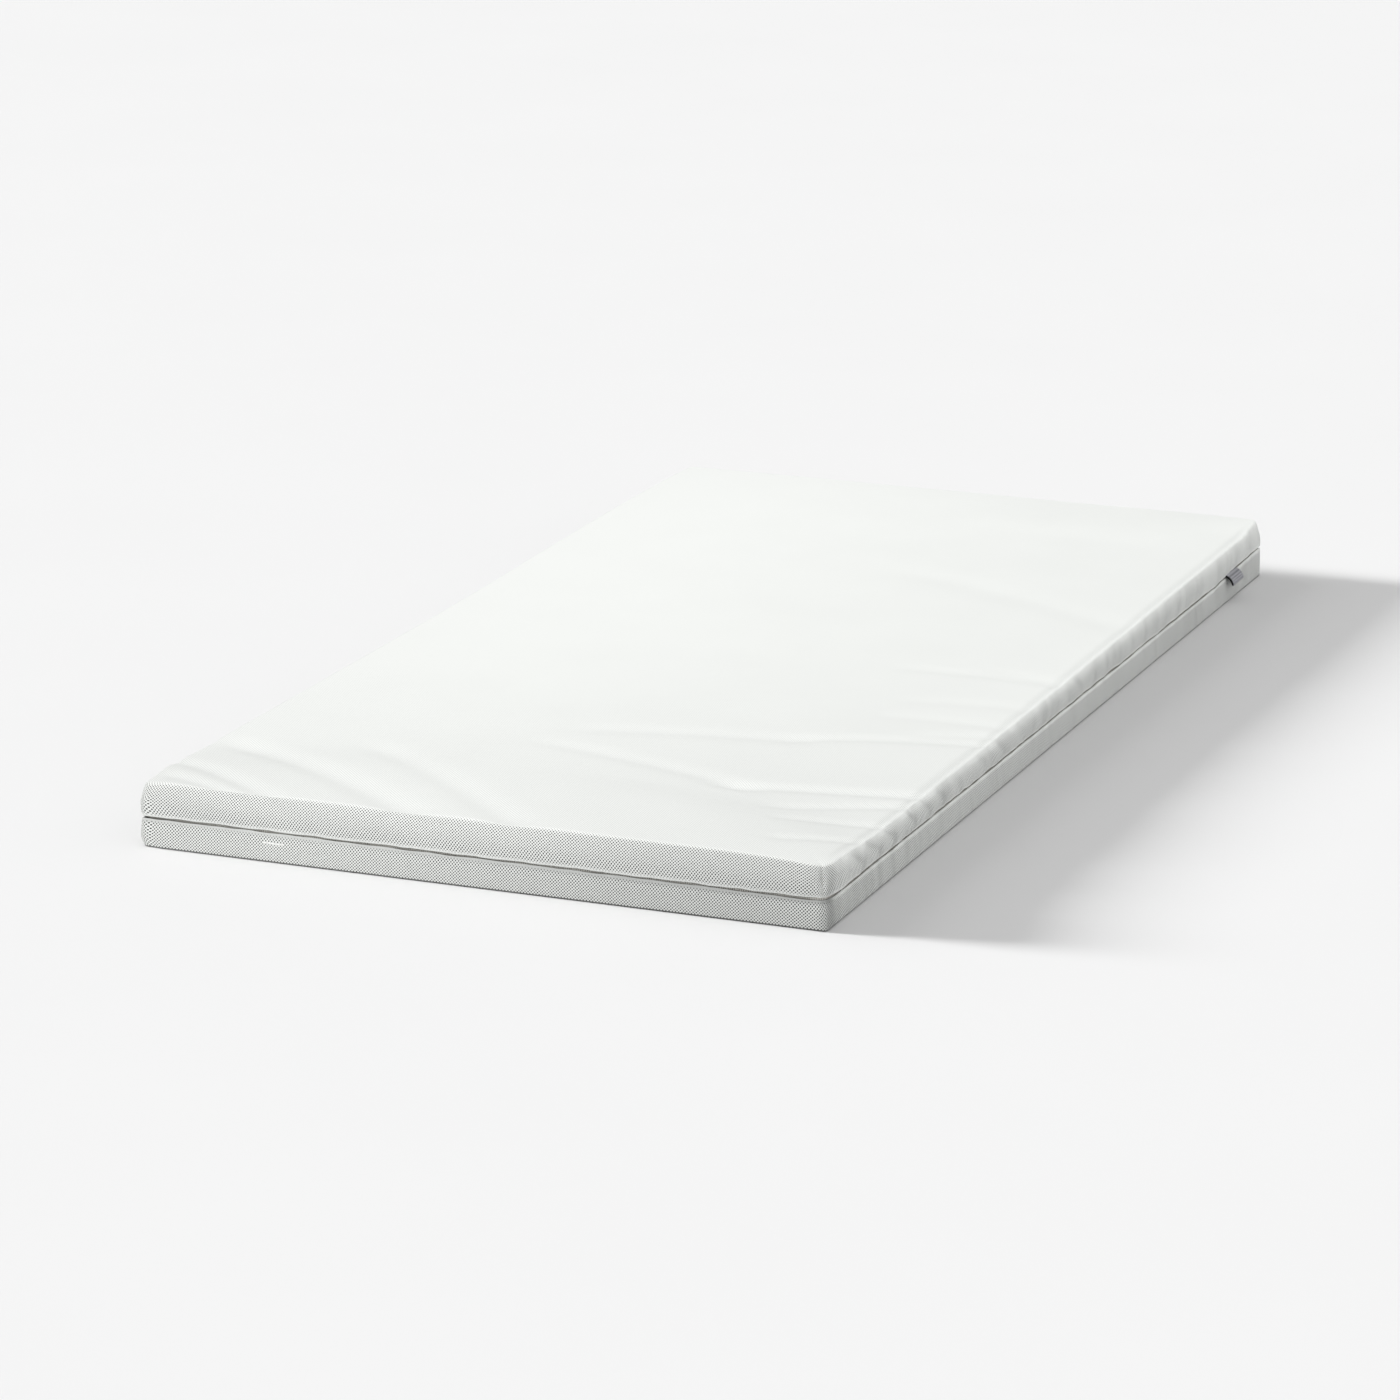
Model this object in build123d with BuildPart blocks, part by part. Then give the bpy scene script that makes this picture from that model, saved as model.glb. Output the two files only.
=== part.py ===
from build123d import *
import os
from math import atan2, degrees, sqrt

# A foam mattress in a mesh cover that zips apart into an upper and a lower half.
# Millimetres, +Z up. The origin is the middle of the underside, X runs across and Y along the mattress.

# Whole mattress
WIDTH = 600.0
LENGTH = 1200.0
HEIGHT = 60.0

# Form of the cover
FABRIC = 1.6  # thickness of the mesh fabric
CORNER = 10.0  # plan radius of the upright corners
SHOULDER = 8.0  # radius where the top turns down into the sides
CROWN = 3.2  # rise of the top from the shoulder to the level middle
CROWN_WIDTH = 180.0  # distance from the side at which the top is level
BOTTOM_EDGE = 5.0  # radius where the underside turns up into the sides
DRAW_IN = 2.0  # how far the zip pulls the sides in
LOWER_INSET = 1.2  # the lower half is this much slimmer on each side than the upper

# Zip line
ZIP_HEIGHT = 26.0
LIP_GAP = 5.6  # opening between the two folded hems
HEM = 3.0  # height of each straight hem
TAPE = 0.5
TAPE_WIDTH = 11.0
TAPE_SETBACK = 1.2  # from the zip's centre line to the edge of each tape
COIL_DEPTH = 1.4
COIL_HEIGHT = 1.7
COIL_CLEARANCE = 0.1  # from the zip's centre line to each coil row
STITCH_HEIGHT = 0.6
STITCH_DEPTH = 0.3

# Foam core
FOAM_INSET = 5.5  # from the cover's sides to the foam
FOAM_GAP = 0.3  # between the foam and the cover's top
FOAM_EDGE = 2.0  # rounding of the foam's lowest edges
SUPPORT_FOAM_TOP = 36.0
FILM = 0.4
FILM_MARGIN = 4.0  # the glue stops this far inside the foam's edge

# Zip hardware, on the straight run along the far short side
PARK_X = -246.0  # middle of the parked slider
COIL_GAP = (-270.0, -234.0)  # the coil rows are open here, round the parked slider
SLIDER_LENGTH = 9.0
SLIDER_WIDE_END = 7.2
SLIDER_TAIL = 5.0
SLIDER_ROUNDING = 1.2
SLIDER_CLEARANCE = 0.3  # between the slider and the hems
FRONT_PLATE = 1.2
BACK_PLATE = 0.8
BACK_PLATE_CLEARANCE = 0.25  # between the back plate and the tapes
WEDGE_LENGTH = 3.0
WEDGE_HEIGHT = 1.6
BRIDGE_LENGTH = 6.4
BRIDGE_OPENING = 4.4
BRIDGE_RISE = 1.5  # clear height under the bridge
BRIDGE_THICKNESS = 0.9
BRIDGE_WIDTH = 1.8
PULL_LENGTH = 26.0
PULL_WIDTH = 6.4
PULL_THICKNESS = 1.0
PULL_WINDOW = (2.6, 3.4)  # height and length of the window round the bridge
PULL_HOLE = 1.5
BOX_X = -267.0
BOX = (6.0, 1.7, 2.5)
PIN_SLOT = 0.9
PIN_SLOT_FLOOR = 1.0
PIN_THICKNESS = 0.5
PIN_LENGTH = 5.0
STOP_X = -259.5
STOP = (2.0, 1.4, 1.6)

# Label, tags and tack
LABEL_Y = 511.0
LABEL_WIDTH = 34.0
LABEL_THICKNESS = 0.7
LABEL_ROOT = (0.35, -2.3)  # outwards from the hem and up from the zip line
LABEL_BELLY = (5.0, -5.1)
LABEL_TIP = (7.4, -11.4)
TACK_X = -178.7
TACK_DROP = 10.0  # below the zip line
TACK = (20.0, 0.9, 1.6)
TACK_SINK = 0.4  # how deep the stitches sit in the fabric
CARE_LABEL_Y = 400.0
CARE_LABEL = (0.3, 50.0, 13.0)
CARE_LABEL_LAP = 3.0  # overlap with the tape that it is sewn to

# Levels and insets that follow from these
LIP_TOP = ZIP_HEIGHT + LIP_GAP / 2
LIP_BOTTOM = ZIP_HEIGHT - LIP_GAP / 2
HEM_INSIDE = DRAW_IN + FABRIC
TAPE_INSIDE = HEM_INSIDE + TAPE
SHOULDER_BASE = HEIGHT - CROWN - SHOULDER
UPPER_HEM_TOP = LIP_TOP + HEM
LOWER_HEM_FOOT = LIP_BOTTOM - HEM
MEMORY_FOAM_BASE = SUPPORT_FOAM_TOP + FILM
FAR_HEM = LENGTH / 2 - DRAW_IN
FAR_TAPE = LENGTH / 2 - HEM_INSIDE
FRONT_PLATE_FACE = FAR_HEM + SLIDER_CLEARANCE + FRONT_PLATE
BACK_PLATE_FACE = FAR_TAPE - TAPE - BACK_PLATE_CLEARANCE
PULL_PIVOT = FRONT_PLATE_FACE + BRIDGE_RISE / 2
SLIDER_TAPER = degrees(atan2(SLIDER_LENGTH, (SLIDER_WIDE_END - SLIDER_TAIL) / 2))
EIGHTH_TURN = sqrt(0.5)  # sine and cosine of 45 degrees


def plan(inset, mode=Mode.ADD):
    """Draw the mattress's plan outline, moved in from every side, into the open sketch."""
    RectangleRounded(WIDTH - 2 * inset, LENGTH - 2 * inset, CORNER - inset, mode=mode)


def shoulder_and_crown(half, side_inset, top_inset):
    """Draw the round shoulder and the crowned top, from the side to the middle, into the open line."""
    across = SHOULDER - side_inset
    upright = SHOULDER - top_inset
    side = (half - side_inset, SHOULDER_BASE)
    bend = (half - SHOULDER + across * EIGHTH_TURN, SHOULDER_BASE + upright * EIGHTH_TURN)
    edge = (half - SHOULDER, SHOULDER_BASE + upright)
    rise = (half - (SHOULDER + CROWN_WIDTH) / 2, edge[1] + 0.75 * CROWN)
    level = (half - CROWN_WIDTH, edge[1] + CROWN)
    ThreePointArc(side, bend, edge)
    ThreePointArc(edge, rise, level)
    Line(level, (0, level[1]))


def upper_outline(plane, half, foot, inset):
    """Cross-section of the cover's upper half, or of its hollow: hem, bulging band, shoulder and crown."""
    hem = half - DRAW_IN - inset
    side = half - inset
    band_middle = (UPPER_HEM_TOP + SHOULDER_BASE) / 2
    with BuildSketch(plane) as outline:
        with BuildLine():
            Polyline((0, foot), (hem, foot), (hem, UPPER_HEM_TOP))
            ThreePointArc((hem, UPPER_HEM_TOP), (side - DRAW_IN / 4, band_middle), (side, SHOULDER_BASE))
            shoulder_and_crown(half, inset, inset)
            mirror(about=Plane.YZ)
        make_face()
    return outline.sketch


def lower_outline(plane, half, top, inset):
    """Cross-section of the cover's lower half, or of its hollow: underside, rounded edge, band and hem."""
    hem = half - DRAW_IN - inset
    side = half - LOWER_INSET - inset
    bulge = side - (side - hem) / 4
    band_middle = (BOTTOM_EDGE + LOWER_HEM_FOOT) / 2
    centre = half - LOWER_INSET - BOTTOM_EDGE
    bend = (centre + (BOTTOM_EDGE - inset) * EIGHTH_TURN, BOTTOM_EDGE - (BOTTOM_EDGE - inset) * EIGHTH_TURN)
    with BuildSketch(plane) as outline:
        with BuildLine():
            Line((0, inset), (centre, inset))
            ThreePointArc((centre, inset), bend, (side, BOTTOM_EDGE))
            ThreePointArc((side, BOTTOM_EDGE), (bulge, band_middle), (hem, LOWER_HEM_FOOT))
            Polyline((hem, LOWER_HEM_FOOT), (hem, top), (0, top))
            mirror(about=Plane.YZ)
        make_face()
    return outline.sketch


def foam_outline(plane, half):
    """Cross-section of the soft slab: upright sides under the cover's shoulder and crown."""
    side = half - FOAM_INSET
    with BuildSketch(plane) as outline:
        with BuildLine():
            Polyline((0, MEMORY_FOAM_BASE), (side, MEMORY_FOAM_BASE), (side, SHOULDER_BASE))
            shoulder_and_crown(half, FOAM_INSET, FABRIC + FOAM_GAP)
            mirror(about=Plane.YZ)
        make_face()
    return outline.sketch


def crossed(outline, corner_inset, *sizes):
    """Solid with the same cross-section across and along the mattress, and rounded upright corners."""
    with BuildPart() as form:
        extrude(outline(Plane.XZ, WIDTH / 2, *sizes), amount=LENGTH / 2, both=True)
        extrude(outline(Plane.YZ, LENGTH / 2, *sizes), amount=WIDTH / 2, both=True, mode=Mode.INTERSECT)
        with BuildSketch():
            plan(corner_inset)
        extrude(amount=HEIGHT, mode=Mode.INTERSECT)
    return form.part


def write(piece, name):
    """Name a finished piece and write it."""
    piece.part.label = name
    export_step(piece.part, f"parts/{name}.step")


os.makedirs("parts", exist_ok=True)

# Upper half of the cover: a straight hem, bulging sides, a round shoulder and a slightly crowned top
upper_form = crossed(upper_outline, 0.0, LIP_TOP, 0.0)
upper_hollow = crossed(upper_outline, FABRIC, LIP_TOP - HEM, FABRIC)
with BuildPart() as cover_top:
    add(upper_form)
    add(upper_hollow, mode=Mode.SUBTRACT)
write(cover_top, "cover_top")

# Lower half of the cover: a flat underside, a rounded bottom edge, bulging sides and a straight hem
lower_form = crossed(lower_outline, LOWER_INSET, LIP_BOTTOM, 0.0)
lower_hollow = crossed(lower_outline, LOWER_INSET + FABRIC, LIP_BOTTOM + HEM, FABRIC)
with BuildPart() as cover_bottom:
    add(lower_form)
    add(lower_hollow, mode=Mode.SUBTRACT)
write(cover_bottom, "cover_bottom")

# Zip tapes, coil rows and the stitches of the hems, one set above the zip line and one below it
for half, way in (("upper", 1), ("lower", -1)):
    with BuildPart() as zip_tape:
        with BuildSketch(Plane.XY.offset(ZIP_HEIGHT + way * TAPE_SETBACK)):
            plan(HEM_INSIDE)
            plan(TAPE_INSIDE, mode=Mode.SUBTRACT)
        extrude(amount=way * TAPE_WIDTH)
    write(zip_tape, f"zip_tape_{half}")

    with BuildPart() as zip_coil:
        with BuildSketch(Plane.XY.offset(ZIP_HEIGHT + way * COIL_CLEARANCE)):
            plan(HEM_INSIDE - COIL_DEPTH)
            plan(HEM_INSIDE, mode=Mode.SUBTRACT)
            with Locations((sum(COIL_GAP) / 2, LENGTH / 2)):
                Rectangle(COIL_GAP[1] - COIL_GAP[0], CORNER * 2, mode=Mode.SUBTRACT)
        extrude(amount=way * COIL_HEIGHT)
    write(zip_coil, f"zip_coil_{half}")

    with BuildPart() as hem_stitches:
        with BuildSketch(Plane.XY.offset(ZIP_HEIGHT + way * (LIP_GAP + HEM) / 2)):
            plan(TAPE_INSIDE)
            plan(TAPE_INSIDE + STITCH_DEPTH, mode=Mode.SUBTRACT)
        extrude(amount=STITCH_HEIGHT / 2, both=True)
    write(hem_stitches, f"hem_stitches_{half}")

# Soft upper slab, with the cover's shoulder and crown
soft_form = crossed(foam_outline, FOAM_INSET)
with BuildPart() as memory_foam_layer:
    add(soft_form)
write(memory_foam_layer, "memory_foam_layer")

# Glue line between the slabs
with BuildPart() as adhesive_film:
    with BuildSketch(Plane.XY.offset(SUPPORT_FOAM_TOP)):
        plan(FOAM_INSET + FILM_MARGIN)
    extrude(amount=FILM)
write(adhesive_film, "adhesive_film")

# Firmer lower slab, standing on the cover's floor
with BuildPart() as support_foam_layer:
    with BuildSketch(Plane.XY.offset(FABRIC)):
        plan(FOAM_INSET)
    extrude(amount=SUPPORT_FOAM_TOP - FABRIC)
    fillet(support_foam_layer.edges().group_by(Axis.Z)[0], FOAM_EDGE)
write(support_foam_layer, "support_foam_layer")

# Slider body: a front plate over the hems, a back plate behind the tapes and the wedge that joins them
with BuildPart() as zip_slider:
    for face, thickness in ((FRONT_PLATE_FACE, FRONT_PLATE), (BACK_PLATE_FACE, BACK_PLATE)):
        with BuildSketch(Plane.XZ.offset(-face)) as plate:
            with Locations((PARK_X, ZIP_HEIGHT)):
                Trapezoid(SLIDER_WIDE_END, SLIDER_LENGTH, SLIDER_TAPER, rotation=-90)
            fillet(plate.vertices(), SLIDER_ROUNDING)
        extrude(amount=thickness)
    with BuildSketch(Plane.XZ.offset(-BACK_PLATE_FACE)):
        with Locations((PARK_X - SLIDER_LENGTH / 4, ZIP_HEIGHT)):
            Ellipse(WEDGE_LENGTH / 2, WEDGE_HEIGHT / 2)
    extrude(amount=-(FRONT_PLATE_FACE - FRONT_PLATE - BACK_PLATE_FACE))
write(zip_slider, "zip_slider")

# Bridge on the slider's front plate
with BuildPart() as slider_bridge:
    with BuildSketch(Plane.XY.offset(ZIP_HEIGHT - BRIDGE_WIDTH / 2)) as arch:
        with Locations((PARK_X, FRONT_PLATE_FACE)):
            Rectangle(BRIDGE_LENGTH, BRIDGE_RISE + BRIDGE_THICKNESS, align=(Align.CENTER, Align.MIN))
        fillet(arch.vertices().group_by(Axis.Y)[-1], BRIDGE_THICKNESS)
        with Locations((PARK_X, FRONT_PLATE_FACE)):
            Rectangle(BRIDGE_OPENING, BRIDGE_RISE, align=(Align.CENTER, Align.MIN), mode=Mode.SUBTRACT)
    extrude(amount=BRIDGE_WIDTH)
write(slider_bridge, "slider_bridge")

# Pull tab, hooked round the bridge by the bar across its end
with BuildPart() as zip_pull:
    with BuildSketch(Plane.XZ.offset(-PULL_PIVOT - PULL_THICKNESS / 2)) as tab:
        with Locations((PARK_X, ZIP_HEIGHT)):
            Rectangle(PULL_LENGTH, PULL_WIDTH, align=(Align.MAX, Align.CENTER))
        fillet(tab.vertices().group_by(Axis.X)[0], PULL_WIDTH / 2.5)
        with Locations((PARK_X - PULL_THICKNESS / 2, ZIP_HEIGHT)):
            Rectangle(PULL_WINDOW[1], PULL_WINDOW[0], align=(Align.MAX, Align.CENTER), mode=Mode.SUBTRACT)
        with Locations((PARK_X - PULL_LENGTH + PULL_WIDTH / 2, ZIP_HEIGHT)):
            Circle(PULL_HOLE, mode=Mode.SUBTRACT)
    extrude(amount=PULL_THICKNESS)
    with BuildSketch(Plane.XY.offset(ZIP_HEIGHT - PULL_WIDTH / 2)):
        with Locations((PARK_X, PULL_PIVOT)):
            Circle(PULL_THICKNESS / 2)
    extrude(amount=PULL_WIDTH)
write(zip_pull, "zip_pull")

# Box at the start of the lower row, with a slot that is open upwards
with BuildPart() as zip_box:
    box_floor = ZIP_HEIGHT - COIL_HEIGHT
    with Locations((BOX_X, FAR_TAPE, box_floor)):
        Box(*BOX, align=(Align.CENTER, Align.MIN, Align.MIN))
    with Locations((BOX_X, FAR_TAPE + BOX[1] / 2, box_floor + PIN_SLOT_FLOOR)):
        Box(BOX[0], PIN_SLOT, BOX[2], align=(Align.CENTER, Align.CENTER, Align.MIN), mode=Mode.SUBTRACT)
write(zip_box, "zip_box")

# Pin at the start of the upper row: a tongue in the box's slot, and a foot on the tape
with BuildPart() as zip_pin:
    tongue_floor = ZIP_HEIGHT - COIL_HEIGHT + 1.5 * PIN_SLOT_FLOOR
    foot_floor = ZIP_HEIGHT + TAPE_SETBACK
    foot_top = ZIP_HEIGHT + COIL_CLEARANCE + COIL_HEIGHT
    with Locations((BOX_X, FAR_TAPE + BOX[1] / 2, tongue_floor)):
        Box(PIN_LENGTH, PIN_THICKNESS, foot_top - tongue_floor, align=(Align.CENTER, Align.CENTER, Align.MIN))
    with Locations((BOX_X, FAR_TAPE, foot_floor)):
        Box(PIN_LENGTH, BOX[1] / 2, foot_top - foot_floor, align=(Align.CENTER, Align.MIN, Align.MIN))
write(zip_pin, "zip_pin")

# Stop on the lower tape, beside the parked slider
with BuildPart() as zip_end_stop:
    with Locations((STOP_X, FAR_TAPE, ZIP_HEIGHT - COIL_HEIGHT)):
        Box(*STOP, align=(Align.CENTER, Align.MIN, Align.MIN))
    fillet(zip_end_stop.faces().sort_by(Axis.Y)[-1].edges(), STOP[1] / 4)
write(zip_end_stop, "zip_end_stop")

# Folded label that comes out over the lower hem and curls down
with BuildPart() as side_label:
    hem_x = WIDTH / 2 - DRAW_IN
    root = (hem_x + LABEL_ROOT[0], ZIP_HEIGHT + LABEL_ROOT[1])
    belly = (hem_x + LABEL_BELLY[0], ZIP_HEIGHT + LABEL_BELLY[1])
    tip = (hem_x + LABEL_TIP[0], ZIP_HEIGHT + LABEL_TIP[1])
    with BuildSketch(Plane.XZ.offset(-LABEL_Y)):
        with BuildLine():
            ThreePointArc(root, belly, tip)
        trace(line_width=LABEL_THICKNESS)
        with Locations(root):
            Circle(LABEL_THICKNESS / 2)
    extrude(amount=LABEL_WIDTH / 2, both=True)
write(side_label, "side_label")

# Bar tack on the near side's lower band
with BuildPart() as bar_tack:
    tack_height = ZIP_HEIGHT - TACK_DROP
    up_the_band = (tack_height - BOTTOM_EDGE) / (LOWER_HEM_FOOT - BOTTOM_EDGE)
    fabric_face = LOWER_INSET + (DRAW_IN - LOWER_INSET) * up_the_band**2 - LENGTH / 2
    with Locations((TACK_X, fabric_face + TACK_SINK, tack_height)):
        Box(*TACK, align=(Align.CENTER, Align.MAX, Align.CENTER))
    fillet(bar_tack.faces().sort_by(Axis.Y)[0].edges(), TACK[1] / 3)
write(bar_tack, "bar_tack")

# Blank tag inside the cover, sewn to the lower tape
with BuildPart() as care_label:
    tape_bottom = ZIP_HEIGHT - TAPE_SETBACK - TAPE_WIDTH
    with Locations((WIDTH / 2 - TAPE_INSIDE, CARE_LABEL_Y, tape_bottom + CARE_LABEL_LAP)):
        Box(*CARE_LABEL, align=(Align.MAX, Align.CENTER, Align.MAX))
write(care_label, "care_label")
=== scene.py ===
import cmath
import math
from collections import namedtuple

import bmesh
import bpy
import numpy as np
from mathutils import Matrix, Vector, noise
from mathutils.bvhtree import BVHTree


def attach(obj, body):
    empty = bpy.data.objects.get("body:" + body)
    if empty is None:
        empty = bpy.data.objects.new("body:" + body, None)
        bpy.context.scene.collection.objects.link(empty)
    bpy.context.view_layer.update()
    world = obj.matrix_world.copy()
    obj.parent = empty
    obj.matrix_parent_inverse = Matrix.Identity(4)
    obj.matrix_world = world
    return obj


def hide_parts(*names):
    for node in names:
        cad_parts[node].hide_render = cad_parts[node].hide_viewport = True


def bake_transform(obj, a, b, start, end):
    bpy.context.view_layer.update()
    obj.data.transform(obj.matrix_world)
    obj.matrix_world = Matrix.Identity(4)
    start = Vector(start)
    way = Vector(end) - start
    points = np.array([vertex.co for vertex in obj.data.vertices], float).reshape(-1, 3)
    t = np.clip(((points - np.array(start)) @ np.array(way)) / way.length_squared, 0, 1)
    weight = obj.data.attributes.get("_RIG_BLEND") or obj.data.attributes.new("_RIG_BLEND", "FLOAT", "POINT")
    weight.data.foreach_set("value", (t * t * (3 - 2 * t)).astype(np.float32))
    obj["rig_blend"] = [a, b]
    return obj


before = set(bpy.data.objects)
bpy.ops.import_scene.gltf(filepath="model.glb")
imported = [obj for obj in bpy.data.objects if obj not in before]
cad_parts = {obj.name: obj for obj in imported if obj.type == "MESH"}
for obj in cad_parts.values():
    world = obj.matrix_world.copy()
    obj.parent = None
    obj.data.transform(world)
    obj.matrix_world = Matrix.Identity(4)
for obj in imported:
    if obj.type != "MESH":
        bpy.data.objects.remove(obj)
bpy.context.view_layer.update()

# Sizes of the mattress, in metres
WIDTH = 0.600
LENGTH = 1.200
HEIGHT = 0.060
CORNER = 0.006  # plan radius of the upright corners
FOOT_CORNER = 0.003  # the same at the foot, where the cover is sewn to a sharper corner
EDGE = 0.0030  # radius of the top's edge
EDGE_TURN = math.radians(72)  # how far that edge turns before the bulging band takes over
BULGE_HEIGHT = 0.041  # where the upper band stands out furthest
BULGE = 0.0012  # how far the upper band stands out there
DRAW_IN = 0.0013  # how far the zip pulls the sides in
LOWER_INSET = -0.0004  # the lower band stands out a little
FOOT = 0.0018  # height of the rounding under the lower band
FOOT_UNDERCUT = 0.0030
ROUND_CORNER = 0.020  # plan radius of the upper half at the near right corner
CLOTH = 0.0007  # thickness

# Lie of the top: its edge stands lower along the sides than the level middle
TOP_EDGE = 0.0570  # at the middle of the short sides
END_REACH = 0.150
RIGHT_FALL = 0.0125
LEFT_FALL = 0.0060
FAR_SHARE = 0.60  # share of the right-hand fall that is left towards the far end
FAR_CORNER_SHARE = 0.08  # and at the far corner itself
NEAR_SHARE = 0.50  # and at the near corner
FAR_SPREAD = 0.0030  # how much wider the far end lies, out to the right

# Zip line
ZIP_HEIGHT = 0.026
LIP_GAP = 0.0056  # opening between the folded hems on the far side, where the slider runs
UPPER_OVERLAP = 0.0028  # how much further the upper hem closes over the zip on the other sides
LOWER_OVERLAP = 0.0012
RIGHT_SAG = 0.0020  # how much lower the zip hangs along the right-hand side
RIGHT_RISE = 0.0036  # how much higher it stands at that side's far end
HEM_FOLD = 0.0010  # radius of the folded edge of each hem
HEM_TURNING = 0.008  # cloth turned inside at each hem
UPPER_FOLD = ZIP_HEIGHT + LIP_GAP / 2 + HEM_FOLD
LOWER_FOLD = ZIP_HEIGHT - LIP_GAP / 2 - HEM_FOLD

# Grid of the cover's cloth
ACROSS = 120
ALONG = 240
EASE = 0.65  # how much closer the grid lines stand near the corners
CORNER_REACH = 0.040  # the sides spread to the corner seams over this distance
SEAM_REACH = 0.012  # folds and unevenness fade out this near to a corner seam
SMALLEST_RADIUS = 0.001
EDGE_STEPS = 6
BAND_STEPS = 10
FOOT_STEPS = 5
LOWER_BAND_STEPS = 7
HEM_STEPS = 4
TURNING_STEPS = 2

# Mesh of the cloth
MESH_ACROSS = 0.00272
MESH_DOWN = 0.00260
HOLE_EDGE = 0.55  # how far the rim of a hole shades off
HEM_TONE = 0.04
UNEVEN_TONE = 0.03
FUZZ = 0.15  # height of the fuzz beside the depth of a hole

RIM = 0.2920  # where the top dips before its right-hand edge, from the middle
RIM_WIDTH = 0.0028
FOLD_FADE = 0.18  # share of a fold's length over which each end fades out
Fold = namedtuple("Fold", "start end bow width height_start height_end")

# Creases of the top, in metres on the flat cloth: x across, y along, depth below the cloth
TOP_FOLDS = (
    Fold((-0.310, -0.455), (-0.020, -0.625), 0.010, 0.015, -0.0032, -0.0032),
    Fold((-0.190, -0.425), (0.060, -0.620), 0.008, 0.014, -0.0016, -0.0032),
    Fold((-0.315, -0.525), (-0.150, -0.625), 0.006, 0.010, -0.0026, -0.0026),
    Fold((-0.300, -0.572), (-0.190, -0.615), 0.003, 0.008, -0.0016, -0.0020),
    Fold((-0.040, -0.345), (0.185, -0.279), 0.004, 0.012, -0.0010, -0.0016),
    Fold((0.130, -0.297), (0.325, -0.205), 0.006, 0.007, -0.0016, -0.0024),
    Fold((-0.060, -0.380), (0.200, -0.440), 0.006, 0.011, -0.0010, -0.0022),
    Fold((0.120, -0.437), (0.325, -0.362), -0.006, 0.008, -0.0020, -0.0026),
    Fold((0.190, -0.475), (0.325, -0.385), -0.003, 0.007, -0.0012, -0.0022),
    Fold((0.205, -0.503), (0.325, -0.455), 0.000, 0.007, -0.0010, -0.0020),
    Fold((0.225, -0.560), (0.325, -0.490), -0.006, 0.007, -0.0012, -0.0020),
    Fold((0.228, -0.228), (0.325, -0.176), 0.000, 0.006, -0.0010, -0.0018),
    Fold((0.180, -0.188), (0.325, -0.158), 0.004, 0.008, -0.0008, -0.0014),
    Fold((0.140, -0.045), (0.325, -0.014), 0.004, 0.006, -0.0010, -0.0020),
    Fold((0.210, -0.012), (0.325, -0.002), 0.000, 0.005, -0.0008, -0.0016),
    Fold((0.180, -0.140), (0.315, -0.095), 0.004, 0.010, -0.0006, -0.0014),
    Fold((0.020, 0.275), (0.320, 0.165), 0.010, 0.022, -0.0014, -0.0016),
    Fold((RIM, -0.590), (RIM, 0.600), 0.0, RIM_WIDTH, -0.0016, -0.0014),
)

# Puckers of the right-hand band: from the top's edge down and away, each with its share of the full height
PUCKER_TOP = 0.300
PUCKER_FOOT = 0.324
PUCKER_WIDTH = 0.0044
PUCKER_HEIGHT = 0.00070
PUCKER_FOOT_HEIGHT = 0.00060
PUCKER_SHIFT = 0.0070  # how far beside a pucker its painted light and its painted shade lie
PUCKER_SHADE = 210.0  # painted shade per metre of height
PUCKERS = tuple(
    Fold(
        (PUCKER_TOP, top), (PUCKER_FOOT, foot), 0.0, PUCKER_WIDTH, PUCKER_HEIGHT * share,
        PUCKER_FOOT_HEIGHT * share,
    )
    for top, foot, share in (
        (-0.557, -0.517, 1.00), (-0.519, -0.478, 1.00), (-0.480, -0.443, 0.90),
        (-0.426, -0.398, 1.00), (-0.391, -0.363, 0.90), (-0.358, -0.328, 0.80),
        (-0.313, -0.289, 0.50), (-0.253, -0.223, 0.70), (-0.207, -0.175, 0.70),
        (-0.148, -0.125, 0.40), (-0.093, -0.075, 0.40), (-0.025, -0.003, 0.80),
        (0.006, 0.035, 0.70), (0.052, 0.069, 0.50), (0.092, 0.107, 0.40),
        (0.167, 0.183, 0.40), (0.307, 0.321, 0.40), (0.547, 0.555, 0.60),
    )
)

# Zip tapes, teeth and stitches
ZIP_CORNER = 0.010  # plan radius of the zip's path, measured at the outer face
TAPE_INSET = 0.0037
TAPE = 0.00045
TAPE_WIDTH = 0.011
TAPE_SETBACK = 0.0012
TAPE_STEPS = 25  # along each side
TAPE_CORNER_STEPS = 8
TOOTH = (0.00115, 0.0010, 0.0016)
TOOTH_PITCH = 0.0019
TOOTH_INSET = 0.0031
TOOTH_LEVEL = 0.00067  # above and below the zip line
TOOTH_ROUNDING = 0.00028
COIL_GAP = (-0.270, -0.234)  # the coil rows are open here, round the parked slider
STITCH = (0.0030, 0.0003, 0.0006)
STITCH_PITCH = 0.0042
STITCH_INSET = 0.0043
STITCH_LEVEL = 0.0043
STITCH_ROUNDING = 0.0001

# Foam core
FOAM_INSET = 0.0055
FOAM_CORNER = 0.0045
FOAM_TOP_GAP = 0.0042  # from the cover's outer face to the soft slab
FOAM_EDGE = 0.0040  # rounding of the soft slab's upper edges
FOAM_JOIN = 0.0364
FIRM_TOP = 0.0360
FIRM_FOOT = 0.0016
FIRM_EDGE = 0.0020
FIRM_NICK = 0.0008  # rounding of the firm slab's upper edges
FOAM_ACROSS = 60
FOAM_ALONG = 120
FOAM_EDGE_STEPS = 4
FOAM_STEPS = 3
FOAM_WAVES = 20  # per metre
SOFT_UNEVENNESS = 0.0004
FIRM_UNEVENNESS = 0.0003

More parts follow.
